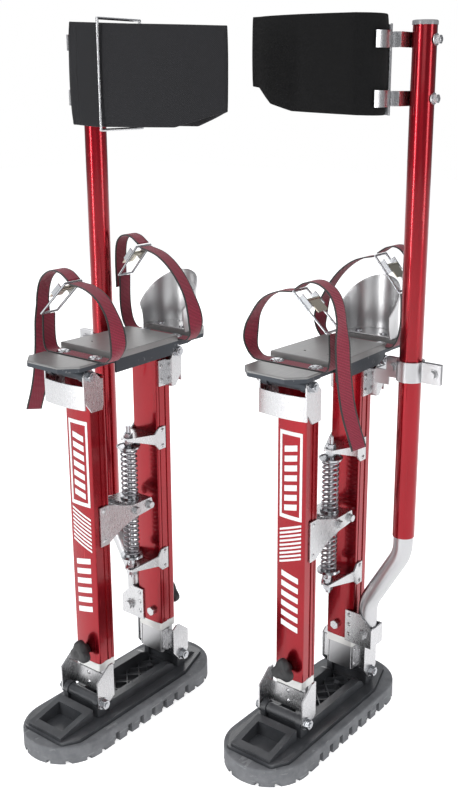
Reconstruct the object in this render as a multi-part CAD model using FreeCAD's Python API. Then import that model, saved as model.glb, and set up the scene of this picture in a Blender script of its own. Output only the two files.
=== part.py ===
import FreeCAD, Part
import math
import os

# Drywall stilts: a mirrored pair. Millimetres, +Z up, toes towards -Y, wearer's left stilt at +X.
# Each stilt is drawn in its own frame (outer side +X, sole centre at the origin) and then placed.

V = FreeCAD.Vector
X_AXIS = V(1, 0, 0)
Y_AXIS = V(0, 1, 0)
Z_AXIS = V(0, 0, 1)

# The pair
STILT_HALF_SPACING = 138.8
STAGGER_HALF = 74.5

# Parallel linkage
FRONT_AXLE_Y = -78.0
REAR_AXLE_Y = 107.0
SOLE_AXLE_Z = 57.0
TOP_AXLE_Z = 582.0
AXLE_R = 5.0
PIVOT_CLEARANCE = 0.06
OPEN_PIVOT_CLEARANCE = 0.3

# Sole
SOLE_LENGTH = 365.0
SOLE_WIDTH = 138.0
TREAD_HEIGHT = 28.0
LUG_DEPTH = 5.0
PLATE_TOP_Z = 34.0
RAIL_TOP_Z = 50.0

# Legs: outer tube and the strut that slides in it
LEG_WIDTH = 49.2
LEG_DEPTH = 35.5
LEG_WALL = 2.5
STRUT_CLEARANCE = 0.4
FRONT_LEG_Y = -49.5
REAR_LEG_Y = 91.5
FRONT_LEG_BOTTOM = 112.0
REAR_LEG_BOTTOM = 120.0
LEG_TOP = 571.0
COLLAR_HEIGHT = 12.5
STRUT_BOTTOM = 66.0
STRUT_TOP = 562.0

# Sheet metal brackets
SHEET = 2.5
EAR_INNER_X = 38.5
BARREL_HALF = 37.7
BARREL_R = 10.5

# Spring unit
SPRING_Y = 37.0
SPRING_R = 13.6
WIRE_R = 1.7
YOKE_TOP = 354.5
YOKE_BOTTOM = 323.5
UPPER_SEAT_Z = 434.0
LOWER_SEAT_Z = 254.0
ARM_TOP_Z = 351.5
CROSS_BOLT_Z = 341.0
ROD_R = 4.0

# Upright
TUBE_X = 100.0
TUBE_Y = 89.2
TUBE_R = 16.75
TUBE_WALL = 1.45
TUBE_BOTTOM = 319.0
TUBE_TOP = 1055.0
BEND_R = 15.0
BEND_FOOT_X = 42.5
CLAMP_Z0 = 564.0
CLAMP_Z1 = 594.0

# Foot plate
DECK_LOW = 595.0
GROOVE_Z = 601.0
LIP_TOP = 603.5
TREAD_PLATE_TOP = 610.0
STRAP_WIDTH = 25.0
STRAP_T = 1.8
STRAP_Z = GROOVE_Z + 0.05 + STRAP_T / 2
FRONT_STRAP_Y = -57.0
REAR_STRAP_Y = 114.0

# Calf cuff
CUFF_T = 10.0
CUFF_END_Y = 36.0
CUFF_END_R = 38.0
BAND_BOLT_Z = (1036.0, 960.0)
RING_X = -9.0


def box(x0, x1, y0, y1, z0, z1):
    return Part.makeBox(x1 - x0, y1 - y0, z1 - z0, V(x0, y0, z0))


def rod(radius, start, end):
    axis = end - start
    return Part.makeCylinder(radius, axis.Length, start, axis)


def fuse_all(shapes):
    whole = shapes[0].multiFuse(shapes[1:])
    return whole.removeSplitter()


def polygon(points):
    return Part.Face(Part.makePolygon(points + [points[0]]))


def prism_x(outline, x0, x1):
    """A flat outline of (y, z) points, extruded from x0 to x1."""
    return polygon([V(x0, y, z) for y, z in outline]).extrude(V(x1 - x0, 0, 0))


def prism_y(outline, y0, y1):
    """A flat outline of (x, z) points, extruded from y0 to y1."""
    return polygon([V(x, y0, z) for x, z in outline]).extrude(V(0, y1 - y0, 0))


def prism_z(outline, z0, z1):
    """A flat outline of (x, y) points, extruded from z0 to z1."""
    return polygon([V(x, y, z0) for x, y in outline]).extrude(V(0, 0, z1 - z0))


def upright_edges(shape, test=None):
    """The straight edges parallel to Z, for rounding."""
    found = []
    for edge in shape.Edges:
        ends = [v.Point for v in edge.Vertexes]
        if len(ends) != 2:
            continue
        along = ends[1] - ends[0]
        if abs(along.x) + abs(along.y) < 1e-6 and (test is None or test(ends[0])):
            found.append(edge)
    return found


def hexagon(across_flats, centre, axis, height):
    """A hexagonal head or nut standing on centre along axis."""
    radius = across_flats / math.sqrt(3)
    points = []
    for k in range(6):
        a = math.radians(60 * k + 30)
        points.append(V(radius * math.cos(a), radius * math.sin(a), 0))
    solid = polygon(points).extrude(V(0, 0, height))
    turn = FreeCAD.Rotation(Z_AXIS, axis)
    solid.Placement = FreeCAD.Placement(centre, turn)
    chamfer = Part.makeCone(radius + 0.9, radius - 0.55, height + 0.01, centre, axis)
    return solid.common(chamfer)


def axle(y, z, left_x, right_x):
    """A pivot bolt along X: shank, a washer and hexagon at each end, all one solid."""
    shapes = [rod(AXLE_R, V(left_x, y, z), V(right_x, y, z))]
    for x, sign in ((left_x, -1), (right_x, 1)):
        shapes.append(rod(9.0, V(x, y, z), V(x + sign * 1.6, y, z)))
        shapes.append(hexagon(13.0, V(x + sign * 1.6, y, z), V(sign, 0, 0), 6.2))
        shapes.append(rod(3.8, V(x + sign * 7.8, y, z), V(x + sign * 9.4, y, z)))
    return fuse_all(shapes)


def rivet(centre, outward, radius=3.6):
    """A domed rivet head sitting on a face."""
    ball = Part.makeSphere(radius * 1.25, centre - outward * (radius * 0.75))
    keep = rod(radius + 1, centre, centre + outward * radius)
    return ball.common(keep)


def rounded_bar(width, depth, z0, z1, centre_y, corner):
    bar = box(-width / 2, width / 2, centre_y - depth / 2, centre_y + depth / 2, z0, z1)
    return bar.makeFillet(corner, upright_edges(bar))


def ribbon(points, y_centre, width, thickness):
    """Webbing that follows a smooth path of (x, z) points, with its width along Y."""
    path = Part.BSplineCurve()
    path.interpolate([V(x, 0, z) for x, z in points])
    samples = path.discretize(Number=10 * len(points))
    sides = ([], [])
    for k, p in enumerate(samples):
        ahead = samples[min(k + 1, len(samples) - 1)]
        behind = samples[max(k - 1, 0)]
        along = ahead - behind
        normal = V(-along.z, 0, along.x)
        normal.normalize()
        sides[0].append(p + normal * (thickness / 2))
        sides[1].append(p - normal * (thickness / 2))
    curves = []
    for side in sides:
        curve = Part.BSplineCurve()
        curve.interpolate(side)
        curves.append(curve.toShape())
    start = Part.LineSegment(sides[0][0], sides[1][0]).toShape()
    end = Part.LineSegment(sides[0][-1], sides[1][-1]).toShape()
    wire = Part.Wire(Part.__sortEdges__([curves[0], end, curves[1], start]))
    face = Part.Face(wire)
    face.translate(V(0, y_centre - width / 2, 0))
    return face.extrude(V(0, width, 0))


# ---------------------------------------------------------------- sole

def stadium(length, width, z0, z1):
    radius = width / 2
    middle = box(-radius, radius, -length / 2 + radius, length / 2 - radius, z0, z1)
    toe = rod(radius, V(0, -length / 2 + radius, z0), V(0, -length / 2 + radius, z1))
    heel = rod(radius, V(0, length / 2 - radius, z0), V(0, length / 2 - radius, z1))
    return fuse_all([middle, toe, heel])


PLATE_OUTLINE = [(-40, -165), (40, -165), (55, -140), (55, 98), (33, 165),
                 (-33, 165), (-55, 98), (-55, -140)]


def plate_blank(grow, z0, z1):
    scaled = []
    for x, y in PLATE_OUTLINE:
        reach = math.hypot(x, y)
        scaled.append((x + grow * math.copysign(1, x), y + grow * y / reach))
    blank = prism_z(scaled, z0, z1)
    return blank.makeFillet(9.0, upright_edges(blank))


def sole_tread():
    """Moulded rubber tread: an oval block with stepped lugs round its lower edge."""
    tread = stadium(SOLE_LENGTH, SOLE_WIDTH, 0, TREAD_HEIGHT)
    top_edges = [e for e in tread.Edges if abs(e.BoundBox.ZMin - TREAD_HEIGHT) < 1e-6
                 and abs(e.BoundBox.ZMax - TREAD_HEIGHT) < 1e-6]
    tread = tread.makeFillet(2.5, top_edges)
    cuts = [plate_blank(0.6, 22.0, TREAD_HEIGHT + 1)]
    pitch = 27.0
    for k in range(-5, 6):
        y = k * pitch
        for side in (-1, 1):
            edge = side * (SOLE_WIDTH / 2)
            notch = box(min(edge, edge - side * 7), max(edge, edge - side * 7), y, y + 9, -1, 17)
            if abs(k) >= 4:
                notch.translate(V(-side * (8 if abs(k) == 4 else 24), 0, 0))
            cuts.append(notch)
    for k in range(-6, 7):
        y = k * pitch - 2
        cuts.append(box(-80, 80, y, y + 7, -1, LUG_DEPTH))
    for x in (-24, 24):
        cuts.append(box(x - 3, x + 3, -200, 200, -1, LUG_DEPTH))
    return tread.cut(fuse_all(cuts))


def sole_plate():
    """Moulded plastic plate let into the tread, with the toe frame, rails and barrels."""
    plate = plate_blank(0, 22.3, PLATE_TOP_Z)
    adds = []
    # toe frame, rising towards the front barrel
    adds.append(prism_x([(-162, 33), (-162, 38), (-95, 52), (-95, 33)], -36, 36))
    hole = prism_x([(-150, 27.5), (-150, 60), (-108, 60), (-108, 27.5)], -26, 26)
    # side rails between the axles
    for side in (-1, 1):
        x0, x1 = sorted((side * 24, side * 37))
        adds.append(prism_x([(-62, 33), (-56, RAIL_TOP_Z), (76, RAIL_TOP_Z), (88, 44), (94, 33)], x0, x1))
    # barrels that carry the two axles
    for y in (FRONT_AXLE_Y, REAR_AXLE_Y):
        adds.append(rod(8.5, V(-BARREL_HALF, y, SOLE_AXLE_Z), V(BARREL_HALF, y, SOLE_AXLE_Z)))
        for x0, x1 in ((-BARREL_HALF, -28), (28, BARREL_HALF)):
            adds.append(rod(BARREL_R, V(x0, y, SOLE_AXLE_Z), V(x1, y, SOLE_AXLE_Z)))
            adds.append(box(x0, x1, y - 9, y + 9, 33, SOLE_AXLE_Z))
        adds.append(box(-29, 29, y - 4, y + 4, 26, SOLE_AXLE_Z - 4))
    # heel block behind the rear barrel
    adds.append(prism_x([(117, 33), (117, 46), (142, 40), (152, 33)], -30, 30))
    pit = box(-24, 24, -66, 96, 26.0, 60)
    plate = plate.cut(hole).cut(pit)
    plate = fuse_all([plate] + [a.cut(hole) for a in adds])
    # diamond lattice of ribs in the pit
    ribs = []
    for k in range(-3, 6):
        for lean in (-1, 1):
            rib = box(-45, 45, -0.9, 0.9, 25.5, 33.0)
            rib.rotate(V(0, 0, 0), Z_AXIS, lean * 45)
            rib.translate(V(0, k * 28.0 - 12, 0))
            ribs.append(rib)
    lattice = fuse_all(ribs).common(box(-24.5, 24.5, -66.5, 96.5, 25, 34))
    bosses = [rod(5.0, V(0, y, 25.5), V(0, y, 38)) for y in (-40, 70)]
    plate = fuse_all([plate, lattice] + bosses)
    bores = []
    for y in (FRONT_AXLE_Y, REAR_AXLE_Y):
        bores.append(rod(AXLE_R, V(-60, y, SOLE_AXLE_Z), V(60, y, SOLE_AXLE_Z)))
    return plate.cut(fuse_all(bores))


def sole_axles():
    reach = EAR_INNER_X + SHEET + 0.3
    return [axle(FRONT_AXLE_Y, SOLE_AXLE_Z, -reach, reach),
            axle(REAR_AXLE_Y, SOLE_AXLE_Z, -reach, reach)]


# ---------------------------------------------------------------- struts and legs

def strut(centre_y):
    """Inner leg: a hollow extrusion with a groove down each side."""
    width = LEG_WIDTH - 2 * LEG_WALL - 2 * STRUT_CLEARANCE
    depth = LEG_DEPTH - 2 * LEG_WALL - 2 * STRUT_CLEARANCE
    bar = rounded_bar(width, depth, STRUT_BOTTOM, STRUT_TOP, centre_y, 2.5)
    cuts = [box(-width / 2 + 5.5, width / 2 - 5.5, centre_y - depth / 2 + 2.2,
                centre_y + depth / 2 - 2.2, STRUT_BOTTOM - 1, STRUT_TOP + 1)]
    for side in (-1, 1):
        edge = side * width / 2
        cuts.append(box(min(edge, edge - side * 3), max(edge, edge - side * 3),
                        centre_y - 4.5, centre_y + 4.5, STRUT_BOTTOM - 1, STRUT_TOP + 1))
    return bar.cut(fuse_all(cuts))


def leg_tube(centre_y, bottom, knob_side, knob_z):
    """Outer leg: a crowned, fluted extrusion with a plastic collar at its lower end."""
    half_w = LEG_WIDTH / 2
    half_d = LEG_DEPTH / 2
    bar = rounded_bar(LEG_WIDTH, LEG_DEPTH, bottom, LEG_TOP, centre_y, 4.0)
    crown_r = 160.0
    crown = rod(crown_r, V(0, centre_y + crown_r - half_d, bottom), V(0, centre_y + crown_r - half_d, LEG_TOP))
    crown_back = rod(crown_r, V(0, centre_y - crown_r + half_d, bottom),
                     V(0, centre_y - crown_r + half_d, LEG_TOP))
    bar = bar.common(crown).common(crown_back)
    cuts = [box(-half_w + LEG_WALL, half_w - LEG_WALL, centre_y - half_d + LEG_WALL,
                centre_y + half_d - LEG_WALL, bottom - 1, LEG_TOP + 1)]
    for side in (-1, 1):
        for offset, width, depth in ((-1.5, 9.0, 1.3), (9.5, 3.0, 0.8)):
            edge = side * half_w
            y0 = centre_y + offset * -knob_side - width / 2
            cuts.append(box(min(edge, edge - side * depth), max(edge, edge - side * depth),
                            y0, y0 + width, bottom - 1, LEG_TOP + 1))
    face_y = centre_y + knob_side * half_d
    cuts.append(rod(4.4, V(0, face_y - knob_side * 5, knob_z), V(0, face_y + knob_side * 5, knob_z)))
    tube = bar.cut(fuse_all(cuts))
    collar = rounded_bar(LEG_WIDTH - 0.4, LEG_DEPTH - 0.4, bottom - COLLAR_HEIGHT, bottom, centre_y, 3.6)
    bore = box(-half_w + LEG_WALL, half_w - LEG_WALL, centre_y - half_d + LEG_WALL,
               centre_y + half_d - LEG_WALL, bottom - COLLAR_HEIGHT - 1, bottom + 1)
    return [tube, collar.cut(bore)]


def knob(face_y, direction, z):
    """Three-lobed clamping knob with its stem; the stem ends just short of the strut."""
    base = face_y + direction * 0.6
    outward = V(0, direction, 0)
    shapes = [rod(4.0, V(0, face_y - direction * (LEG_WALL + 0.1), z), V(0, base + direction * 6, z))]
    shapes.append(Part.makeCone(8.0, 11.0, 9.0, V(0, base, z), outward))
    shapes.append(rod(11.0, V(0, base + direction * 9, z), V(0, base + direction * 22, z)))
    shapes.append(Part.makeCone(11.0, 8.5, 2.0, V(0, base + direction * 22, z), outward))
    for k in range(3):
        a = math.radians(90 + 120 * k)
        centre = V(10.5 * math.cos(a), base + direction * 9, z + 10.5 * math.sin(a))
        shapes.append(rod(8.5, centre, centre + outward * 12))
        shapes.append(Part.makeCone(8.5, 6.5, 2.0, centre + outward * 12, outward))
    return fuse_all(shapes)


# ---------------------------------------------------------------- brackets

def ear(axle_y, axle_z, outline, side, bore_r):
    """One flat bracket ear: a (y, z) outline with a round end on the axle and its bore."""
    x0 = EAR_INNER_X if side > 0 else -EAR_INNER_X - SHEET
    x1 = x0 + SHEET
    sheet = prism_x(outline, x0, x1)
    lug = rod(10.0, V(x0, axle_y, axle_z), V(x1, axle_y, axle_z))
    bore = rod(bore_r, V(x0 - 1, axle_y, axle_z), V(x1 + 1, axle_y, axle_z))
    return fuse_all([sheet, lug]).cut(bore)


def front_foot_bracket():
    """Bent sheet: a web riveted to the strut and two ears that turn on the sole axle."""
    outline = [(-88, 57), (-88, 95), (-62, 115), (-53, 115), (-53, 60), (-68, 50), (-78, 48)]
    face_y = FRONT_LEG_Y - (LEG_DEPTH / 2 - LEG_WALL - STRUT_CLEARANCE)
    shapes = [ear(FRONT_AXLE_Y, SOLE_AXLE_Z, outline, side, AXLE_R + PIVOT_CLEARANCE) for side in (-1, 1)]
    shapes.append(box(-EAR_INNER_X, EAR_INNER_X, face_y - SHEET, face_y, 64, 97.5))
    shapes += [rivet(V(0, face_y - SHEET, z), V(0, -1, 0)) for z in (91, 74)]
    return fuse_all(shapes)


def rear_foot_bracket():
    """Hat-shaped sheet: flanges riveted to the strut's sides, stepping out to two ears."""
    outline = [(86, 66), (86, 108), (94, 114), (102, 114), (122, 97), (122, 62), (113, 48), (101, 48)]
    strut_x = LEG_WIDTH / 2 - LEG_WALL - STRUT_CLEARANCE
    shapes = []
    for side in (-1, 1):
        shapes.append(ear(REAR_AXLE_Y, SOLE_AXLE_Z, outline, side, AXLE_R + PIVOT_CLEARANCE))
        low, high = sorted((side * strut_x, side * (strut_x + SHEET)))
        shapes.append(box(low, high, 77, 90.5, 67, 106))
        low, high = sorted((side * strut_x, side * (EAR_INNER_X + SHEET)))
        shapes.append(box(low, high, 88, 90.5, 67, 106))
        face_x = side * (strut_x + SHEET)
        shapes += [rivet(V(face_x, 82.5, z), V(side, 0, 0), 3.0) for z in (100, 75)]
    return fuse_all(shapes)


def top_bracket(front):
    """Sheet bracket at a leg's top: side flanges, steps, ears and the bowed band."""
    sign = 1 if front else -1
    axle_y = FRONT_AXLE_Y if front else REAR_AXLE_Y
    leg_y = FRONT_LEG_Y if front else REAR_LEG_Y
    reach_y = axle_y - sign * 11
    step_y = leg_y - sign * 4
    flange_end = leg_y + sign * 11
    outline = [(reach_y, 582), (reach_y, 546), (reach_y + sign * 14, 527),
               (step_y, 527), (step_y, 572), (axle_y + sign * 7, 589)]
    clearance = PIVOT_CLEARANCE if front else OPEN_PIVOT_CLEARANCE
    shapes = [ear(axle_y, TOP_AXLE_Z, outline, side, AXLE_R + clearance) for side in (-1, 1)]
    half_w = LEG_WIDTH / 2
    for side in (-1, 1):
        low, high = sorted((side * half_w, side * (half_w + SHEET)))
        y0, y1 = sorted((step_y, flange_end))
        shapes.append(box(low, high, y0, y1, 527, 568))
        low, high = sorted((side * half_w, side * (EAR_INNER_X + SHEET)))
        y0, y1 = sorted((step_y, step_y - sign * SHEET))
        shapes.append(box(low, high, y0, y1, 527, 568))
        for z in (558, 536):
            shapes.append(rivet(V(side * (half_w + SHEET), leg_y + sign * 5, z), V(side, 0, 0)))
    # bowed band across the leg, ear to ear
    bow = 5.0
    outer_x = EAR_INNER_X + SHEET
    radius = (outer_x ** 2 + bow ** 2) / (2 * bow)
    centre = V(0, reach_y - sign * bow + sign * radius, 531)
    band = rod(radius, centre, centre + V(0, 0, 37)).cut(rod(radius - SHEET, centre, centre + V(0, 0, 37)))
    y0, y1 = sorted((reach_y - sign * (bow + 1), reach_y + sign * SHEET))
    shapes.append(band.common(box(-outer_x, outer_x, y0, y1, 533, 570)))
    return fuse_all(shapes)


ARM_X = LEG_WIDTH / 2


def spring_centre_bracket():
    """Two arms on the front leg, joined by a slotted shelf and two bolts that trap the yoke."""
    shapes = []
    back_face = FRONT_LEG_Y + LEG_DEPTH / 2
    for side in (-1, 1):
        x0, x1 = sorted((side * ARM_X, side * (ARM_X + SHEET)))
        low_curve = Part.Arc(V(x0, -38.6, 306), V(x0, -4, 323), V(x0, 40, 331)).toShape()
        corners = [V(x0, 40, 331), V(x0, 57, 333), V(x0, 60, 341), V(x0, 57, ARM_TOP_Z), V(x0, 14, ARM_TOP_Z),
                   V(x0, -38.6, 369), V(x0, -54.6, 369), V(x0, -54.6, 306), V(x0, -38.6, 306)]
        wire = Part.Wire([low_curve] + [Part.LineSegment(a, b).toShape() for a, b in zip(corners, corners[1:])])
        plate = Part.Face(wire).extrude(V(x1 - x0, 0, 0))
        face_x = side * (ARM_X + SHEET)
        shapes.append(plate)
        shapes += [rivet(V(face_x, -46.5, z), V(side, 0, 0)) for z in (362, 314)]
    shelf = box(-ARM_X, ARM_X, 14, 57, ARM_TOP_Z - SHEET, ARM_TOP_Z)
    slot = [box(-9, 9, SPRING_Y - 3.5, SPRING_Y + 3.5, 340, 360)]
    for dy in (-3.5, 3.5):
        slot.append(rod(9.0, V(0, SPRING_Y + dy, 340), V(0, SPRING_Y + dy, 360)))
    shapes.append(shelf.cut(fuse_all(slot)))
    shapes.append(box(-ARM_X, ARM_X, back_face, back_face + SHEET, 318, 361))
    for y in (SPRING_Y - 15, SPRING_Y + 15):
        shapes.append(rod(3.0, V(-ARM_X, y, CROSS_BOLT_Z), V(ARM_X, y, CROSS_BOLT_Z)))
        for side in (-1, 1):
            x = side * (ARM_X + SHEET)
            shapes.append(rod(7.0, V(x, y, CROSS_BOLT_Z), V(x + side * 1.2, y, CROSS_BOLT_Z)))
            shapes.append(hexagon(10.0, V(x + side * 1.2, y, CROSS_BOLT_Z), V(side, 0, 0), 4.6))
    return fuse_all(shapes)


def spring_yoke():
    """Flanged sleeve between the springs; it slides on the rod and moves with the arms."""
    base = V(0, SPRING_Y, 0)
    shapes = [rod(8.5, base + V(0, 0, YOKE_BOTTOM), base + V(0, 0, YOKE_TOP))]
    shapes.append(rod(15.0, base + V(0, 0, YOKE_TOP - 2.6), base + V(0, 0, YOKE_TOP)))
    shapes.append(rod(14.5, base + V(0, 0, YOKE_BOTTOM), base + V(0, 0, YOKE_BOTTOM + 2.5)))
    return fuse_all(shapes).cut(rod(ROD_R + 0.08, base + V(0, 0, 300), base + V(0, 0, 400)))


def spring_end_bracket(upper):
    """Gusset bracket riveted to the rear leg: a tapering shelf that clamps the rod's end."""
    half_w = LEG_WIDTH / 2
    leg_face = REAR_LEG_Y - LEG_DEPTH / 2
    shelf_z = 451.5 if upper else 226.7
    sign = -1 if upper else 1
    shelf = prism_z([(-8, SPRING_Y - 9), (8, SPRING_Y - 9), (half_w + SHEET, leg_face - 4),
                     (half_w + SHEET, leg_face + 6), (half_w, leg_face + 6), (half_w, leg_face),
                     (-half_w, leg_face), (-half_w, leg_face + 6), (-half_w - SHEET, leg_face + 6),
                     (-half_w - SHEET, leg_face - 4)], min(shelf_z, shelf_z + sign * SHEET),
                    max(shelf_z, shelf_z + sign * SHEET))
    shapes = [shelf]
    for side in (-1, 1):
        x0, x1 = sorted((side * half_w, side * (half_w + SHEET)))
        outline = [(leg_face - 4, shelf_z), (leg_face + 5, shelf_z + 9 * -sign), (leg_face + 19, shelf_z + 9 * -sign),
                   (leg_face + 19, shelf_z + sign * 27), (leg_face + 4, shelf_z + sign * 27),
                   (leg_face - 4, shelf_z + sign * 16)]
        shapes.append(prism_x(outline, x0, x1))
        # slanting gusset from the flange to the shelf's tip
        tip = V(side * 8, SPRING_Y - 9, shelf_z)
        root_a = V(side * (half_w + SHEET), leg_face - 3.9, shelf_z)
        root_b = V(side * (half_w + SHEET), leg_face - 3.9, shelf_z + sign * 17)
        gusset = polygon([tip, root_a, root_b, tip + V(0, 0, sign * 4)])
        shapes.append(gusset.extrude(V(-side * 2.0, 0, 0)))
        face_x = side * (half_w + SHEET)
        for dz in (-4, 22):
            shapes.append(rivet(V(face_x, leg_face + 12, shelf_z + sign * dz), V(side, 0, 0)))
    return fuse_all(shapes).cut(rod(ROD_R, V(0, SPRING_Y, 200), V(0, SPRING_Y, 500)))


def spring_rod():
    """Threaded rod with its clamp nuts and the cupped seat at each spring's outer end."""
    centre = V(0, SPRING_Y, 0)
    shapes = [rod(ROD_R, centre + V(0, 0, 214), centre + V(0, 0, 470))]
    for z, height in ((451.5, 7.0), (438.5, 10.5), (219.0, 7.7), (231.5, 7.0)):
        shapes.append(hexagon(13.0, centre + V(0, 0, z), Z_AXIS, height))
    for z, sign in ((UPPER_SEAT_Z, 1), (LOWER_SEAT_Z, -1)):
        top = z + sign * 2.2
        shapes.append(rod(17.5, centre + V(0, 0, z), centre + V(0, 0, top)))
        cup = Part.makeCone(17.5, 18.6, 3.4, centre + V(0, 0, z), V(0, 0, sign))
        shapes.append(cup.cut(Part.makeCone(15.6, 16.8, 3.4, centre + V(0, 0, z + sign * 0.5), V(0, 0, sign))))
    for low, high in ((434.0, 439.5), (237.0, 252.0)):
        shapes.append(rod(6.0, centre + V(0, 0, low), centre + V(0, 0, high)))
    return fuse_all(shapes)


def coil_spring(z0, z1, turns):
    """A plain stand-in for a compression spring: a stack of wire rings with thin ties."""
    rings = []
    pitch = (z1 - z0 - 2 * WIRE_R) / turns
    for k in range(turns + 1):
        z = z0 + WIRE_R + k * pitch
        rings.append(Part.makeTorus(SPRING_R - WIRE_R, WIRE_R, V(0, SPRING_Y, z), Z_AXIS))
    ties = []
    for a in (0, 180):
        x = (SPRING_R - WIRE_R) * math.cos(math.radians(a))
        ties.append(rod(0.8, V(x, SPRING_Y, z0 + WIRE_R), V(x, SPRING_Y, z1 - WIRE_R)))
    return fuse_all(rings + ties)


# ---------------------------------------------------------------- upright

def bent_path(points, radius):
    """Straight runs joined by tangent arcs of one radius, as a wire."""
    edges = []
    start = points[0]
    for before, corner, after in zip(points, points[1:], points[2:]):
        u = (before - corner).normalize()
        w = (after - corner).normalize()
        half = math.acos(max(-1, min(1, u.dot(w)))) / 2
        cut = radius / math.tan(half)
        a = corner + u * cut
        b = corner + w * cut
        inward = (u + w).normalize()
        middle = corner + inward * (radius / math.sin(half) - radius)
        edges.append(Part.LineSegment(start, a).toShape())
        edges.append(Part.Arc(a, middle, b).toShape())
        start = b
    edges.append(Part.LineSegment(start, points[-1]).toShape())
    return Part.Wire(edges)


def pipe(points, radius, bend):
    wire = bent_path([V(p) for p in points], bend)
    along = points[1] - points[0]
    circle = Part.Wire(Part.makeCircle(radius, points[0], along))
    return wire.makePipeShell([circle], True, False)


def upright_bend_tube():
    """Bent tube: its foot stands beside the rear leg, its top runs up inside the calf tube."""
    points = [V(BEND_FOOT_X, TUBE_Y, 122), V(BEND_FOOT_X, TUBE_Y, 190), V(TUBE_X, TUBE_Y, 290),
              V(TUBE_X, TUBE_Y, 620)]
    tube = pipe(points, BEND_R, 58.0).cut(pipe(points, BEND_R - 2, 58.0))
    return tube.cut(rod(4.0, V(BEND_FOOT_X, 50, 137), V(BEND_FOOT_X, 130, 137)))


def upright_bracket():
    """Sheet bracket riveted to the rear leg's front face and folded round the bent tube."""
    face = REAR_LEG_Y - LEG_DEPTH / 2
    back_y = TUBE_Y + BEND_R + 0.1
    front = prism_y([(12, 118), (12, 172), (38, 172), (60, 150), (60, 118)], face - SHEET, face)
    side = box(57.6, 60, face - SHEET, back_y + SHEET, 118, 150)
    back = box(27, 60, back_y, back_y + SHEET, 118, 150)
    shapes = [front, side, back]
    shapes += [rivet(V(19, face - SHEET, z), V(0, -1, 0)) for z in (165, 149, 132)]
    bolt = [rod(4.0, V(BEND_FOOT_X, face - SHEET - 1, 137), V(BEND_FOOT_X, back_y + SHEET + 1, 137))]
    bolt.append(rod(9.0, V(BEND_FOOT_X, face - SHEET - 1.5, 137), V(BEND_FOOT_X, face - SHEET, 137)))
    bolt.append(hexagon(13.0, V(BEND_FOOT_X, face - SHEET - 1.5, 137), V(0, -1, 0), 5.5))
    bolt.append(hexagon(13.0, V(BEND_FOOT_X, back_y + SHEET, 137), V(0, 1, 0), 6.5))
    lock_nut = hexagon(13.0, V(-7, face, 140), V(0, -1, 0), 6.0)
    return [fuse_all(shapes + bolt), lock_nut]


def tube_clamp():
    """Two clamp halves round the calf tube, their bolts, and the lug on the bracket ear."""
    outer = rod(TUBE_R + 3.7, V(TUBE_X, TUBE_Y, CLAMP_Z0), V(TUBE_X, TUBE_Y, CLAMP_Z1))
    bore = rod(TUBE_R + 0.08, V(TUBE_X, TUBE_Y, CLAMP_Z0 - 20), V(TUBE_X, TUBE_Y, CLAMP_Z1 + 1))
    bolt_z = (CLAMP_Z0 + CLAMP_Z1) / 2
    bolt_spots = (TUBE_X - 28, TUBE_X + 38)
    halves = []
    for sign in (-1, 1):
        y0, y1 = sorted((TUBE_Y + sign * 0.9, TUBE_Y + sign * 30))
        f0, f1 = sorted((TUBE_Y + sign * 0.9, TUBE_Y + sign * 4.1))
        pieces = [outer.common(box(TUBE_X - 30, TUBE_X + 30, y0, y1, CLAMP_Z0, CLAMP_Z1))]
        pieces.append(box(TUBE_X + 17, TUBE_X + 50, f0, f1, CLAMP_Z0, CLAMP_Z1))
        pieces.append(box(TUBE_X - 38, TUBE_X - 17, f0, f1, CLAMP_Z0, CLAMP_Z1))
        if sign > 0:
            pieces.append(box(41.0, TUBE_X - 36, f0, f1, CLAMP_Z0 - 14, CLAMP_Z0 + 8))
            pieces.append(box(41.0, 43.5, f0, 118, CLAMP_Z0 - 14, CLAMP_Z0 + 8))
            pieces.append(rivet(V(43.5, 109, CLAMP_Z0 - 5), X_AXIS))
        half = fuse_all(pieces).cut(bore)
        for x in bolt_spots:
            half = half.cut(rod(3.5, V(x, 60, bolt_z), V(x, 120, bolt_z)))
        halves.append(half)
    bolts = []
    for x in bolt_spots:
        parts = [rod(3.5, V(x, TUBE_Y - 4.1, bolt_z), V(x, TUBE_Y + 12, bolt_z))]
        parts.append(rod(8.0, V(x, TUBE_Y - 5.6, bolt_z), V(x, TUBE_Y - 4.1, bolt_z)))
        parts.append(hexagon(11.0, V(x, TUBE_Y - 5.6, bolt_z), V(0, -1, 0), 5.0))
        parts.append(hexagon(11.0, V(x, TUBE_Y + 4.1, bolt_z), V(0, 1, 0), 6.0))
        bolts.append(fuse_all(parts))
    return halves + bolts




def calf_tube():
    tube = rod(TUBE_R, V(TUBE_X, TUBE_Y, TUBE_BOTTOM), V(TUBE_X, TUBE_Y, TUBE_TOP))
    tube = tube.cut(rod(TUBE_R - TUBE_WALL, V(TUBE_X, TUBE_Y, TUBE_BOTTOM - 1), V(TUBE_X, TUBE_Y, TUBE_TOP + 1)))
    for z in BAND_BOLT_Z:
        tube = tube.cut(rod(3.5, V(TUBE_X - 30, TUBE_Y, z), V(TUBE_X + 30, TUBE_Y, z)))
    cap = rod(TUBE_R + 0.9, V(TUBE_X, TUBE_Y, TUBE_TOP), V(TUBE_X, TUBE_Y, TUBE_TOP + 6))
    cap = cap.makeFillet(1.8, [e for e in cap.Edges if e.BoundBox.ZMin > TUBE_TOP + 5])
    plug = rod(TUBE_R - TUBE_WALL, V(TUBE_X, TUBE_Y, TUBE_TOP - 12), V(TUBE_X, TUBE_Y, TUBE_TOP))
    return [tube, fuse_all([cap, plug])]


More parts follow.
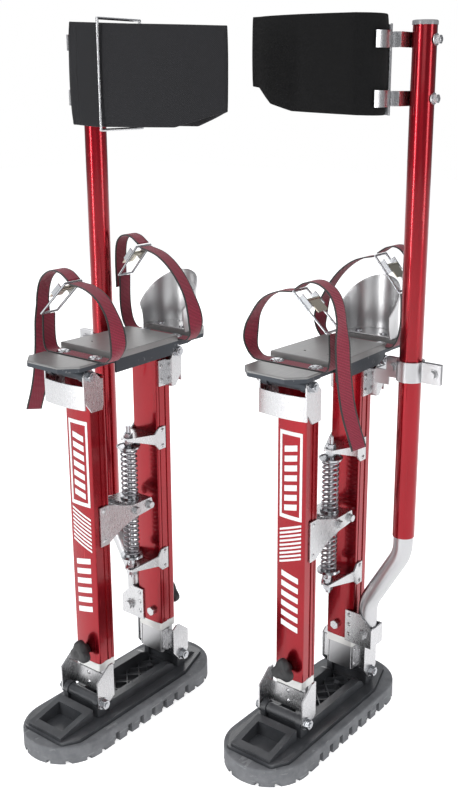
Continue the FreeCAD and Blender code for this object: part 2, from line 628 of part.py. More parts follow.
def calf_bracket(name):
    """Calf support: a curved spine with two bands round the cuff's end, bolted to the tube."""
    end_x = CUFFS[name][0]
    centre = V(end_x, CUFF_END_Y, 0)
    radius = CUFF_END_R + 3.2
    ring = rod(radius, centre + V(0, 0, 938), centre + V(0, 0, 1056))
    ring = ring.cut(rod(radius - 2.4, centre + V(0, 0, 900), centre + V(0, 0, 1060)))
    shapes = []
    spans = [(20, 938, 1056)] + [(-30, z - 11, z + 11) for z in BAND_BOLT_Z]
    for first, z0, z1 in spans:
        sweep = [(end_x, CUFF_END_Y)]
        for k in range(6):
            a = math.radians(first + (70 - first) * k / 5)
            sweep.append((end_x + 60 * math.cos(a), CUFF_END_Y + 60 * math.sin(a)))
        shapes.append(ring.common(prism_z(sweep, z0, z1)))
    inner_x = TUBE_X - TUBE_R
    for z in BAND_BOLT_Z:
        tab = box(inner_x - SHEET, inner_x, 56.5, 103, z - 10, z + 10)
        shapes.append(tab.cut(rod(3.5, V(70, TUBE_Y, z), V(90, TUBE_Y, z))))
        shapes.append(box(end_x + 33, inner_x, 56.5, 59, z - 10, z + 10))
    body = fuse_all(shapes)
    outer_x = TUBE_X + TUBE_R
    bolts = []
    for z in BAND_BOLT_Z:
        parts = [rod(3.5, V(inner_x - SHEET, TUBE_Y, z), V(outer_x + 9, TUBE_Y, z))]
        parts.append(hexagon(11.0, V(inner_x - SHEET, TUBE_Y, z), V(-1, 0, 0), 4.0))
        parts.append(rod(8.0, V(outer_x, TUBE_Y, z), V(outer_x + 1.6, TUBE_Y, z)))
        parts.append(hexagon(11.0, V(outer_x + 1.6, TUBE_Y, z), X_AXIS, 6.0))
        bolts.append(fuse_all(parts))
    ring_bars = [cuff_ring()] if name == "right" else []
    return [body] + bolts + ring_bars


CUFFS = {
    "left": (34.0,
             [(-40, 72), (-100, 62), (-134, 51), (-152, 40), (-134, 28), (-100, 13), (-40, 0)],
             [(90, 937), (-60, 942), (-104, 951), (-135, 973), (-170, 976), (-170, 1072), (90, 1069)]),
    "right": (40.0,
              [(-60, 73), (-130, 67), (-178, 54), (-200, 40), (-178, 26), (-130, 10), (-60, 0)],
              [(90, 924), (10, 920), (-130, 922), (-210, 946), (-210, 1052), (-60, 1058), (90, 1066)])}


def calf_cuff(name):
    """Padded cuff: a closed, flattened loop that springs from the calf support."""
    end_x, far_side, front_outline = CUFFS[name]
    path = []
    for degrees in (-90, -60, -30, 0, 30, 60, 90):
        a = math.radians(degrees)
        path.append((end_x + CUFF_END_R * math.cos(a), CUFF_END_Y + CUFF_END_R * math.sin(a)))
    curve = Part.BSplineCurve()
    curve.interpolate([V(x, y, 900) for x, y in path + far_side], PeriodicFlag=True)
    count = 60
    outer = curve.discretize(Number=count + 1)[:-1]
    inner = []
    for k, p in enumerate(outer):
        along = outer[(k + 1) % count] - outer[k - 1]
        normal = V(-along.y, along.x, 0).normalize()
        spot = p + normal * CUFF_T
        if min((spot - q).Length for q in outer) > 0.96 * CUFF_T:
            inner.append(spot)
    face = Part.Face(Part.makePolygon(outer + outer[:1]))
    hole = Part.Face(Part.makePolygon(inner + inner[:1]))
    height = V(0, 0, 200)
    loop = face.extrude(height).cut(hole.extrude(height))
    return loop.common(prism_y(front_outline, -60, 120))


def cuff_ring():
    """Rectangular wire ring that both walls of the cuff pass through."""
    wire_r = 2.0
    low, high = 917.0, 1065.5
    bars = []
    for y in (-5.5, 78.0):
        bars.append(rod(wire_r, V(RING_X, y, low), V(RING_X, y, high)))
        for z in (low, high):
            bars.append(Part.makeSphere(wire_r, V(RING_X, y, z)))
    for z in (low, high):
        bars.append(rod(wire_r, V(RING_X, -5.5, z), V(RING_X, 78.0, z)))
    return fuse_all(bars)


# ---------------------------------------------------------------- foot plate

def foot_plate():
    """Moulded foot plate: toe lip, raised tread plate, strap grooves, heel rest, barrels."""
    lip = prism_z([(-53, -75), (-53, -106), (-31, -128), (31, -128), (53, -106), (53, -75)], DECK_LOW, LIP_TOP)
    deck = prism_z([(-51, -76), (51, -76), (51, 132), (-51, 132)], DECK_LOW, GROOVE_Z)
    block = [(-57, -40), (57, -40), (52, 98), (-52, 98)]
    tread = prism_z(block, DECK_LOW, TREAD_PLATE_TOP)
    skirt = prism_z(block, 581.5, DECK_LOW + 1)
    skirt = skirt.cut(prism_z([(-54.5, -50), (54.5, -50), (49.5, 100), (-49.5, 100)], 570, DECK_LOW + 1))
    skirt = skirt.common(prism_x([(-40, 600), (-40, 581), (80, 581), (98, 592), (98, 600)], -80, 80))
    heel = prism_z([(-51, 131), (51, 131), (51, 160), (34, 181.5), (-34, 181.5), (-51, 160)], DECK_LOW, 607.5)
    wedge = prism_x([(118, DECK_LOW + 1), (118, 587), (140, 587), (174, DECK_LOW + 1)], -36, 36)
    tread = tread.makeFillet(1.2, [e for e in tread.Edges if e.BoundBox.ZMin > TREAD_PLATE_TOP - 0.01])
    lip = lip.makeFillet(1.8, [e for e in lip.Edges if e.BoundBox.ZMin > LIP_TOP - 0.01])
    shapes = [lip, deck, tread, skirt, heel, wedge]
    for y in (FRONT_AXLE_Y, REAR_AXLE_Y):
        shapes.append(rod(8.5, V(-BARREL_HALF, y, TOP_AXLE_Z), V(BARREL_HALF, y, TOP_AXLE_Z)))
        for x0, x1 in ((-BARREL_HALF, -28), (28, BARREL_HALF)):
            shapes.append(rod(BARREL_R, V(x0, y, TOP_AXLE_Z), V(x1, y, TOP_AXLE_Z)))
            shapes.append(box(x0, x1, y - 8, y + 8, TOP_AXLE_Z, DECK_LOW + 1))
        shapes.append(box(-29, 29, y - 3, y + 3, TOP_AXLE_Z, DECK_LOW + 1))
    plate = fuse_all(shapes)
    cuts = [box(-48, 48, -37, 95, 590, TREAD_PLATE_TOP - 4)]
    for y in (FRONT_AXLE_Y, REAR_AXLE_Y):
        cuts.append(rod(AXLE_R, V(-60, y, TOP_AXLE_Z), V(60, y, TOP_AXLE_Z)))
    for x, y in SCREW_SPOTS:
        cuts.append(rod(3.0, V(x, y, 596.5), V(x, y, 612)))
    for x in (-18, 22):
        cuts.append(rod(2.0, V(x, -10, 600), V(x, -10, 612)))
    return plate.cut(fuse_all(cuts))


SCREW_SPOTS = [(-33, FRONT_STRAP_Y), (33, FRONT_STRAP_Y), (-33, REAR_STRAP_Y), (33, REAR_STRAP_Y)]
HEEL_BOLTS = [(-22, 143), (22, 143)]


def heel_cup():
    """Polished heel cup: a curved upright wall rising from a flat base."""
    radius = 47.0
    centre = V(0, 135, 0)
    wall = rod(radius, centre + V(0, 0, 607.6), centre + V(0, 0, 698))
    wall = wall.cut(rod(radius - 2.2, centre + V(0, 0, 600), centre + V(0, 0, 700)))
    arch_wire = Part.Wire([Part.LineSegment(V(-50, 130, 607.6), V(50, 130, 607.6)).toShape(),
                           Part.LineSegment(V(50, 130, 607.6), V(50, 130, 640)).toShape(),
                           Part.Arc(V(50, 130, 640), V(0, 130, 696), V(-50, 130, 640)).toShape(),
                           Part.LineSegment(V(-50, 130, 640), V(-50, 130, 607.6)).toShape()])
    arch = Part.Face(arch_wire).extrude(V(0, 70, 0))
    front_cut = prism_x([(80, 700), (80, 600), (134, 600), (134, 640), (152, 700)], -60, 60)
    wall = wall.common(arch).cut(front_cut)
    base = rod(radius, centre + V(0, 0, 607.6), centre + V(0, 0, 610.1))
    base = base.common(box(-50, 50, 132, 190, 600, 620))
    cup = fuse_all([wall, base])
    for x, y in HEEL_BOLTS:
        cup = cup.cut(rod(3.0, V(x, y, 600), V(x, y, 620)))
    return cup


# Each loop starts at the buckle's upper bar, runs down the inner side, through the groove
# and up the outer side to the buckle's lower bar; each tail runs back over the buckle.
# Each loop lies flat on its groove, and its points are close together where it leaves it.
GROOVE_RUN = [(x, STRAP_Z) for x in (-60, -56, -52, -48, -44, -30, 0, 28, 36, 40, 44, 48, 52, 55)]
FRONT_LOOP = ([(2, 707), (-28, 703), (-54, 689), (-73, 662), (-80, 634), (-77, 615), (-68, 604.5)] + GROOVE_RUN
              + [(60, 607), (62.5, 623), (61, 655)])
FRONT_TAIL = [(4, 711), (20, 721), (41, 722), (61, 709), (71, 686), (75, 650), (79, 600), (88, 550), (106, 500)]
REAR_LOOP = ([(26, 736), (-8, 727), (-37, 706), (-60, 675), (-73, 642), (-74, 617), (-67, 604.5)] + GROOVE_RUN
             + [(62, 606), (69, 619), (73, 645), (72, 686)])
REAR_TAIL = [(30, 741), (46, 751), (63, 752), (76, 740), (80, 713), (80, 668)]


def foot_straps():
    solids = []
    for loop, tail, y in ((FRONT_LOOP, FRONT_TAIL, FRONT_STRAP_Y), (REAR_LOOP, REAR_TAIL, REAR_STRAP_Y)):
        band = ribbon(loop, y, STRAP_WIDTH, STRAP_T)
        for x, spot_y in SCREW_SPOTS:
            if spot_y == y:
                band = band.cut(rod(3.0, V(x, y, 590), V(x, y, 612)))
        solids.append(band)
        solids.append(ribbon(tail, y, STRAP_WIDTH, STRAP_T))
    return solids


BUCKLES = {"front": (V(5, FRONT_STRAP_Y, 708.3), V(59.5, FRONT_STRAP_Y, 658)),
           "rear": (V(29, REAR_STRAP_Y, 737.4), V(70.2, REAR_STRAP_Y, 689))}


def buckle_frame(which):
    """Cam buckle body: two side rails, cross bars and the long ring below them."""
    top, bottom = BUCKLES[which]
    half = STRAP_WIDTH / 2 + 3.2
    run = (bottom - top).normalize()
    lift = V(-run.z, 0, run.x)
    if lift.z < 0:
        lift = lift * -1
    shapes = []
    for side in (-1, 1):
        offset = V(0, side * half, 0)
        shapes.append(rod(1.7, top + offset, bottom + offset))
        cheek = polygon([top + run * 12 + offset, top + run * 34 + offset,
                         top + run * 34 + offset + lift * 9, top + run * 12 + offset + lift * 9])
        shapes.append(cheek.extrude(V(0, -side * 1.6, 0)))
    for distance in (0, (bottom - top).Length):
        point = top + run * distance
        shapes.append(rod(1.7, point + V(0, -half, 0), point + V(0, half, 0)))
    return fuse_all(shapes)


def lever_pivot(which):
    top, bottom = BUCKLES[which]
    run = (bottom - top).normalize()
    lift = V(-run.z, 0, run.x)
    if lift.z < 0:
        lift = lift * -1
    return top + run * 23 + lift * 5.2, run, lift


def buckle_lever(which):
    """Cam lever: a toothed roller on its pin with a flat thumb plate."""
    pivot, run, lift = lever_pivot(which)
    half = STRAP_WIDTH / 2 + 1.2
    roller = rod(3.6, pivot + V(0, -half, 0), pivot + V(0, half, 0))
    tongue_start = pivot + lift * 1.4
    corners = [tongue_start - run * 2, tongue_start + run * 22 + lift * 1.2,
               tongue_start + run * 22 + lift * 2.8, tongue_start - run * 2 + lift * 1.6]
    plate = polygon([c - V(0, half - 2, 0) for c in corners]).extrude(V(0, 2 * half - 4, 0))
    return fuse_all([roller, plate])


def plate_hardware():
    """Upper pivot bolts, strap screws on cup washers, heel bolts and buckle bodies."""
    reach = EAR_INNER_X + SHEET + 0.3
    solids = [axle(FRONT_AXLE_Y, TOP_AXLE_Z, -reach, reach),
              axle(REAR_AXLE_Y, TOP_AXLE_Z, -reach, reach)]
    strap_top = STRAP_Z + STRAP_T / 2 + 0.03
    for x, y in SCREW_SPOTS:
        washer = Part.makeCone(10.5, 8.0, 1.8, V(x, y, strap_top), Z_AXIS)
        head = Part.makeCone(5.0, 4.2, 1.0, V(x, y, strap_top + 1.8), Z_AXIS)
        solids.append(fuse_all([washer, head, rod(3.0, V(x, y, 596.5), V(x, y, strap_top + 1))]))
    for x, y in HEEL_BOLTS:
        head = Part.makeCone(5.5, 4.0, 2.4, V(x, y, 610.1), Z_AXIS)
        solids.append(fuse_all([head, rod(3.0, V(x, y, 607.6), V(x, y, 611))]))
    solids += [buckle_frame("front"), buckle_frame("rear")]
    return solids


# ---------------------------------------------------------------- one stilt, then the pair

def stilt_nodes(name):
    front_face = FRONT_LEG_Y - LEG_DEPTH / 2
    rear_face = REAR_LEG_Y + LEG_DEPTH / 2
    nodes = {}
    nodes["sole_tread"] = [sole_tread()]
    nodes["sole_plate"] = [sole_plate()]
    nodes["sole_axles"] = sole_axles()
    nodes["front_lower_leg"] = [strut(FRONT_LEG_Y)]
    nodes["front_foot_bracket"] = [front_foot_bracket()]
    nodes["rear_lower_leg"] = [strut(REAR_LEG_Y)]
    nodes["rear_foot_bracket"] = [rear_foot_bracket()]
    nodes["front_leg_tube"] = leg_tube(FRONT_LEG_Y, FRONT_LEG_BOTTOM, -1, 133)
    nodes["front_top_bracket"] = [top_bracket(True)]
    nodes["spring_centre_bracket"] = [spring_centre_bracket()]
    nodes["rear_leg_tube"] = leg_tube(REAR_LEG_Y, REAR_LEG_BOTTOM, 1, 150)
    nodes["rear_top_bracket"] = [top_bracket(False)]
    nodes["spring_end_brackets"] = [spring_end_bracket(True), spring_end_bracket(False)]
    nodes["spring_rod"] = [spring_rod()]
    nodes["springs"] = [coil_spring(YOKE_TOP, UPPER_SEAT_Z, 10), coil_spring(LOWER_SEAT_Z, YOKE_BOTTOM, 10)]
    nodes["spring_yoke"] = [spring_yoke()]
    nodes["upright_bracket"] = upright_bracket()
    nodes["upright_bend_tube"] = [upright_bend_tube()]
    nodes["tube_clamp"] = tube_clamp()
    nodes["calf_tube"] = calf_tube()
    nodes["calf_bracket"] = calf_bracket(name)
    nodes["calf_cuff"] = [calf_cuff(name)]
    nodes["foot_plate"] = [foot_plate()]
    nodes["heel_cup"] = [heel_cup()]
    nodes["foot_straps"] = foot_straps()
    nodes["plate_hardware"] = plate_hardware()
    nodes["front_knob"] = [knob(front_face, -1, 133)]
    nodes["rear_knob"] = [knob(rear_face, 1, 150)]
    nodes["front_buckle_lever"] = [buckle_lever("front")]
    nodes["rear_buckle_lever"] = [buckle_lever("rear")]
    return nodes


def placed(shape, side):
    """Puts a stilt's shape in the pair: the wearer's left as drawn, the right mirrored."""
    if side < 0:
        shape = shape.mirror(V(0, 0, 0), X_AXIS)
    else:
        shape = shape.copy()
    shape.translate(V(side * STILT_HALF_SPACING, side * STAGGER_HALF, 0))
    return shape


os.makedirs("parts", exist_ok=True)
for name, side in (("left", 1), ("right", -1)):
    for node, solids in stilt_nodes(name).items():
        shape = Part.makeCompound([placed(s, side) for s in solids])
        shape.exportStep("parts/" + name + "_" + node + ".step")
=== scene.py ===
import math
import bpy
import numpy as np
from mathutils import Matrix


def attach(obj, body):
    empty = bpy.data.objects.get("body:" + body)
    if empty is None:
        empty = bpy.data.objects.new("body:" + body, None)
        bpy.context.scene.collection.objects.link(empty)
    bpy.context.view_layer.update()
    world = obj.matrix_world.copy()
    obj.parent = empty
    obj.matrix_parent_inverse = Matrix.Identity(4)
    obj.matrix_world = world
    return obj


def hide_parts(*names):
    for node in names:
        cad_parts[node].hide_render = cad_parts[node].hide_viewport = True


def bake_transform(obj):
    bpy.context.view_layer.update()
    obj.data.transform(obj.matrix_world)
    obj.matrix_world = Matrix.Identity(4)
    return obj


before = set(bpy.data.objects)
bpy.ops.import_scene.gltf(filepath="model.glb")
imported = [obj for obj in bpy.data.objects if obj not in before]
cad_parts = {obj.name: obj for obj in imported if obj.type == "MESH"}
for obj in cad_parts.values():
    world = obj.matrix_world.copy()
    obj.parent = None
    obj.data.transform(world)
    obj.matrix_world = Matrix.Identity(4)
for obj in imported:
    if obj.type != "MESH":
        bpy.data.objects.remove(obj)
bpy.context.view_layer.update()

# ---- Studio ------------------------------------------------------------------
# A pale floor under an even sky panel, a long strip light that draws the bright line down the
# red tubes, and broad soft boxes above, beside and behind; the camera looks slightly down.

scene = bpy.context.scene
scene.view_settings.view_transform = "Standard"

lens = bpy.data.cameras.new("camera")
lens.lens = 46.565
lens.sensor_width = 36.0
lens.shift_x = -0.0251
lens.shift_y = -0.0371
camera = bpy.data.objects.new("camera", lens)
camera.location = (0.93978, -1.12455, 0.9783)
camera.rotation_euler = (math.radians(74.56), 0.0, math.radians(37.74))
scene.collection.objects.link(camera)
scene.camera = camera

for lamp_name, place_m, aim_m, wide, tall, watts in (
        ("strip", (-0.9, -3.2, 1.3), (0.0, 0.0, 0.6), 0.4, 3.2, 60.0),
        ("side", (3.6, 0.5, 1.5), (0.0, 0.0, 0.6), 0.9, 2.6, 34.0),
        ("over", (-0.3, -0.2, 3.6), (0.0, 0.0, 0.4), 3.6, 3.6, 50.0),
        ("fill", (2.2, -3.4, 2.0), (0.0, 0.0, 0.5), 2.2, 2.2, 20.0),
        ("back", (-2.6, 2.8, 2.2), (0.0, 0.0, 0.6), 1.6, 2.6, 25.0)):
    light = bpy.data.lights.new(lamp_name, "AREA")
    light.shape = "RECTANGLE"
    light.size, light.size_y = wide, tall
    light.energy = watts
    lamp = bpy.data.objects.new(lamp_name, light)
    lamp.location = place_m
    way = np.subtract(aim_m, place_m)
    lamp.rotation_euler = (math.atan2(math.hypot(way[0], way[1]), -way[2]), 0.0,
                           math.atan2(-way[0], way[1]))
    scene.collection.objects.link(lamp)

sun = bpy.data.lights.new("sky_panel", "SUN")
sun.energy = 0.7
sun.angle = math.radians(120.0)
ceiling = bpy.data.objects.new("sky_panel", sun)
scene.collection.objects.link(ceiling)

world = bpy.data.worlds.new("studio")
world.use_nodes = True
scene.world = world
sky = world.node_tree
air = sky.nodes["Background"]
air.inputs["Color"].default_value = (1.0, 1.0, 1.0, 1.0)
air.inputs["Strength"].default_value = 1.0
dim = sky.nodes.new("ShaderNodeBackground")
dim.inputs["Color"].default_value = (0.60, 0.62, 0.66, 1.0)
dim.inputs["Strength"].default_value = 0.32
seen = sky.nodes.new("ShaderNodeLightPath")
both = sky.nodes.new("ShaderNodeMixShader")
sky.links.new(seen.outputs["Is Camera Ray"], both.inputs[0])
sky.links.new(dim.outputs[0], both.inputs[1])
sky.links.new(air.outputs[0], both.inputs[2])
sky.links.new(both.outputs[0], sky.nodes["World Output"].inputs[0])


class Sum:
    """A node socket that stands in Python sums; each operator adds one Math node."""

    def __init__(self, tree, socket):
        self.tree = tree
        self.socket = socket

    def maths(self, operation, *terms):
        node = self.tree.nodes.new("ShaderNodeMath")
        node.operation = operation
        for slot, term in zip(node.inputs, terms):
            if isinstance(term, Sum):
                self.tree.links.new(term.socket, slot)
            else:
                slot.default_value = term
        return Sum(self.tree, node.outputs[0])

    def __add__(self, other):
        return self.maths("ADD", self, other)

    def __radd__(self, other):
        return self.maths("ADD", other, self)

    def __sub__(self, other):
        return self.maths("SUBTRACT", self, other)

    def __rsub__(self, other):
        return self.maths("SUBTRACT", other, self)

    def __mul__(self, other):
        return self.maths("MULTIPLY", self, other)

    def __rmul__(self, other):
        return self.maths("MULTIPLY", other, self)

    def __gt__(self, other):
        return self.maths("GREATER_THAN", self, other)

    def __lt__(self, other):
        return self.maths("LESS_THAN", self, other)

    def __abs__(self):
        return self.maths("ABSOLUTE", self)

    def wave(self):
        """The sine of the value, moved to run from 0 to 1."""
        return self.maths("SINE", self) * 0.5 + 0.5


class Finish:
    """One material as it is mixed: node() adds any node, and the rest are short names for it."""

    def __init__(self, name, **plain):
        self.material = bpy.data.materials.new(name)
        self.material.use_nodes = True
        self.tree = self.material.node_tree
        self.shader = self.tree.nodes["Principled BSDF"]
        for socket, value in plain.items():
            self.shader.inputs[socket.replace("_", " ")].default_value = value

    def node(self, kind, settings=(), inputs=(), output=0):
        node = self.tree.nodes.new(kind)
        for key, value in dict(settings).items():
            if key == "stops":
                ramp = node.color_ramp
                for k, (at, colour) in enumerate(value):
                    stop = ramp.elements[k] if k < 2 else ramp.elements.new(at)
                    stop.position, stop.color = at, colour
            else:
                setattr(node, key, value)
        for key, value in dict(inputs).items():
            if isinstance(value, Sum):
                self.tree.links.new(value.socket, node.inputs[key])
            else:
                node.inputs[key].default_value = value
        return Sum(self.tree, node.outputs[output])

    def place(self):
        return self.node("ShaderNodeTexCoord", output="Object")

    def axes(self, vector):
        split = self.tree.nodes.new("ShaderNodeSeparateXYZ")
        self.tree.links.new(vector.socket, split.inputs[0])
        return [Sum(self.tree, s) for s in split.outputs]

    def noise(self, vector, scale, detail=3.0, roughness=0.55, stretch=(1.0, 1.0, 1.0)):
        vector = self.node("ShaderNodeMapping", inputs={0: vector, "Scale": stretch})
        return self.node("ShaderNodeTexNoise", inputs={
            "Vector": vector, "Scale": scale, "Detail": detail, "Roughness": roughness})

    def blend(self, mask, first, second):
        return self.node("ShaderNodeMix", {"data_type": "RGBA"}, {0: mask, 6: first, 7: second}, 2)

    def paint(self, socket, value):
        self.tree.links.new(value.socket, self.shader.inputs[socket])

    def emboss(self, height, distance, strength=1.0):
        bump = self.node("ShaderNodeBump", inputs={
            "Height": height, "Distance": distance, "Strength": strength})
        self.paint("Normal", bump)


floor_finish = Finish("studio_floor", Base_Color=(0.93, 0.93, 0.93, 1.0), Roughness=0.9,
                      Specular_IOR_Level=0.1,
                      Emission_Color=(1.0, 1.0, 1.0, 1.0), Emission_Strength=0.62)
floor_mesh = bpy.data.meshes.new("studio_floor")
floor_mesh.from_pydata([(-9, -9, 0), (9, -9, 0), (9, 9, 0), (-9, 9, 0)], [], [(0, 1, 2, 3)])
floor_mesh.materials.append(floor_finish.material)
floor = bpy.data.objects.new("studio_floor", floor_mesh)
scene.collection.objects.link(floor)

SIDES = {"left": 1.0, "right": -1.0}
HALF_SPACING = 0.1388
HALF_STAGGER = 0.0745


def dress(node, finish):
    """Gives one CAD node, on both stilts, its finish."""
    for side in SIDES:
        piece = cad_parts[side + "_" + node]
        piece.data.materials.clear()
        piece.data.materials.append(finish.material)


def on_stilt(side, points):
    """Millimetres in one stilt's own frame, its outer side +X, to metres in the pair's frame:
    x is mirrored for the right stilt, and each stilt stands off the middle by its own step."""
    way = SIDES[side]
    metres = np.asarray(points, float) / 1000.0
    return metres * (way, 1.0, 1.0) + (way * HALF_SPACING, way * HALF_STAGGER, 0.0)


def surface(name, side, grid, finish, wrap=(False, False), uv=None, caps=False):
    """A mesh from a grid of points, (rows, columns, xyz) in a stilt's millimetres: neighbours
    make four-sided faces, and either way round may close on itself. uv is one pair per point."""
    rows, cols = grid.shape[:2]
    index = np.arange(rows * cols).reshape(rows, cols)
    down = np.concatenate([index, index[:1]]) if wrap[0] else index
    full = np.concatenate([down, down[:, :1]], axis=1) if wrap[1] else down
    quads = np.stack([full[:-1, :-1], full[1:, :-1], full[1:, 1:], full[:-1, 1:]], axis=-1)
    quads = quads.reshape(-1, 4)
    if SIDES[side] < 0:
        quads = quads[:, ::-1]
    faces = quads.tolist()
    if caps:
        first, last = index[0].tolist(), index[-1][::-1].tolist()
        faces += [first, last] if SIDES[side] > 0 else [first[::-1], last[::-1]]
    mesh = bpy.data.meshes.new(name)
    mesh.from_pydata(on_stilt(side, grid.reshape(-1, 3)).tolist(), [], faces)
    mesh.polygons.foreach_set("use_smooth", np.ones(len(faces), bool))
    if uv is not None:
        flat = uv.reshape(-1, 2)
        corners = np.empty(len(mesh.loops), int)
        mesh.loops.foreach_get("vertex_index", corners)
        mesh.uv_layers.new(name="weave").data.foreach_set("uv", flat[corners].ravel())
    mesh.materials.append(finish.material)
    mesh.update()
    piece = bpy.data.objects.new(name, mesh)
    scene.collection.objects.link(piece)
    return piece


# ---- Soles -------------------------------------------------------------------
# A lugged rubber tread with a glossy moulded plate let into it; the plate carries the two
# barrels that the lower axles pass through.

tread_rubber = Finish("tread_rubber", Roughness=0.72, Specular_IOR_Level=0.35)
spot = tread_rubber.place()
cloud = tread_rubber.noise(spot, 38.0, 5.0, 0.65)
speck = tread_rubber.noise(spot, 900.0, 2.0)
scuff = tread_rubber.noise(spot, 60.0, 4.0, 0.7, (1.0, 0.25, 3.0))
tone = tread_rubber.node("ShaderNodeValToRGB", {"stops": (
    (0.3, (0.105, 0.11, 0.118, 1.0)), (0.7, (0.185, 0.19, 0.20, 1.0)))}, {0: cloud})
dust = tread_rubber.blend((scuff > 0.62) * 0.35, tone, (0.34, 0.345, 0.35, 1.0))
tread_rubber.paint("Base Color", dust)
tread_rubber.paint("Roughness", 0.58 + cloud * 0.25)
tread_rubber.emboss(speck * 0.6 + cloud * 0.8, 0.0009, 0.6)
dress("sole_tread", tread_rubber)

sole_plastic = Finish("sole_plastic", Roughness=0.3, Coat_Weight=0.25, Coat_Roughness=0.2)
spot = sole_plastic.place()
grain = sole_plastic.noise(spot, 1400.0, 2.0)
cloud = sole_plastic.noise(spot, 24.0, 3.0)
wear = sole_plastic.noise(spot, 130.0, 5.0, 0.7, (1.0, 0.3, 1.0))
sole_plastic.paint("Base Color", sole_plastic.blend((wear > 0.63) * 0.3, sole_plastic.node(
    "ShaderNodeValToRGB", {"stops": ((0.3, (0.032, 0.034, 0.038, 1.0)), (0.7, (0.058, 0.061, 0.067, 1.0)))},
    {0: cloud}), (0.14, 0.145, 0.15, 1.0)))
sole_plastic.paint("Roughness", 0.26 + cloud * 0.12 + (wear > 0.63) * 0.2)
sole_plastic.emboss(grain, 0.0003, 0.5)
dress("sole_plate", sole_plastic)

# ---- Legs and calf tubes -----------------------------------------------------
# Red anodised aluminium extrusions, glossy, with the die's faint lines along them. A white
# nylon collar is pressed into each leg's foot and a grey plug into each calf tube's top.

def anodised(name, low, high, trim):
    """Red dye over metal: fine lines along Z, faint clouding, rare light scratches. Between the
    heights low and high, in metres, the surface is the plastic trim colour instead."""
    finish = Finish(name, Coat_Roughness=0.08, Coat_Weight=0.5)
    spot = finish.place()
    lines = finish.noise(spot, 900.0, 2.0, 0.5, (1.0, 1.0, 0.004))
    cloud = finish.noise(spot, 11.0, 3.0)
    nick = finish.noise(spot, 260.0, 3.0, 0.7, (1.0, 1.0, 0.06))
    height = finish.axes(spot)[2]
    collar = (height > low) * (height < high)
    red = finish.blend(cloud, (0.22, 0.001, 0.006, 1.0), (0.33, 0.002, 0.011, 1.0))
    red = finish.blend((nick > 0.71) * 0.5, red, (0.62, 0.10, 0.10, 1.0))
    finish.paint("Base Color", finish.blend(collar, red, trim))
    finish.paint("Metallic", 0.88 * (1.0 - collar))
    finish.paint("Roughness", (0.20 + lines * 0.10 + (nick > 0.71) * 0.15) * (1.0 - collar) + collar * 0.5)
    finish.emboss(lines, 0.0002, 0.35)
    return finish


dress("front_leg_tube", anodised("front_leg_red", -1.0, 0.1121, (0.78, 0.78, 0.76, 1.0)))
dress("rear_leg_tube", anodised("rear_leg_red", -1.0, 0.1201, (0.78, 0.78, 0.76, 1.0)))
dress("calf_tube", anodised("calf_tube_red", 1.0549, 2.0, (0.20, 0.20, 0.21, 1.0)))

# ---- Bright aluminium --------------------------------------------------------
# Pressed brackets, sliding inner legs, the bent upright and its clamp: tumbled and lightly
# brushed aluminium that scratches where it is handled.


def bright_metal(name, tone, rough, along=(1.0, 1.0, 1.0), streak=420.0):
    """Bare metal: streaks of roughness and height along one way, soft clouding and scratches."""
    finish = Finish(name, Metallic=1.0)
    spot = finish.place()
    brush = finish.noise(spot, streak, 3.0, 0.6, along)
    cloud = finish.noise(spot, 26.0, 4.0, 0.6)
    mark = finish.noise(spot, 150.0, 5.0, 0.75, (2.0, 0.4, 0.7))
    dark = tuple(0.90 * c for c in tone[:3]) + (1.0,)
    finish.paint("Base Color", finish.blend(cloud * 0.9, dark, tone))
    finish.paint("Roughness", rough + brush * 0.10 + cloud * 0.05 + (mark > 0.70) * 0.10)
    finish.emboss(brush * 0.6 + (mark > 0.70) * 0.3, 0.00015, 0.25)
    return finish


sheet_aluminium = bright_metal("sheet_aluminium", (0.56, 0.56, 0.57, 1.0), 0.20, (1.0, 1.0, 0.25))
for node in ("front_foot_bracket", "rear_foot_bracket", "front_top_bracket", "rear_top_bracket",
             "spring_centre_bracket", "spring_end_brackets", "upright_bracket", "calf_bracket"):
    dress(node, sheet_aluminium)
drawn_aluminium = bright_metal("drawn_aluminium", (0.52, 0.52, 0.53, 1.0), 0.24, (1.0, 1.0, 0.01), 700.0)
for node in ("front_lower_leg", "rear_lower_leg", "upright_bend_tube"):
    dress(node, drawn_aluminium)
cast_aluminium = bright_metal("cast_aluminium", (0.52, 0.52, 0.53, 1.0), 0.26)
dress("tube_clamp", cast_aluminium)

# ---- Plated steel ------------------------------------------------------------
# Axles, nuts, washers, screws and the spring rod: zinc-plated steel.

zinc_steel = bright_metal("zinc_steel", (0.48, 0.49, 0.51, 1.0), 0.18)
for node in ("sole_axles", "spring_rod", "spring_yoke", "plate_hardware"):
    dress(node, zinc_steel)
cam_steel = bright_metal("cam_steel", (0.50, 0.46, 0.38, 1.0), 0.14)
for node in ("front_buckle_lever", "rear_buckle_lever"):
    dress(node, cam_steel)

# ---- Foot plate --------------------------------------------------------------
# A dark moulded plate with a hard coated tread surface, finely drawn along its length.

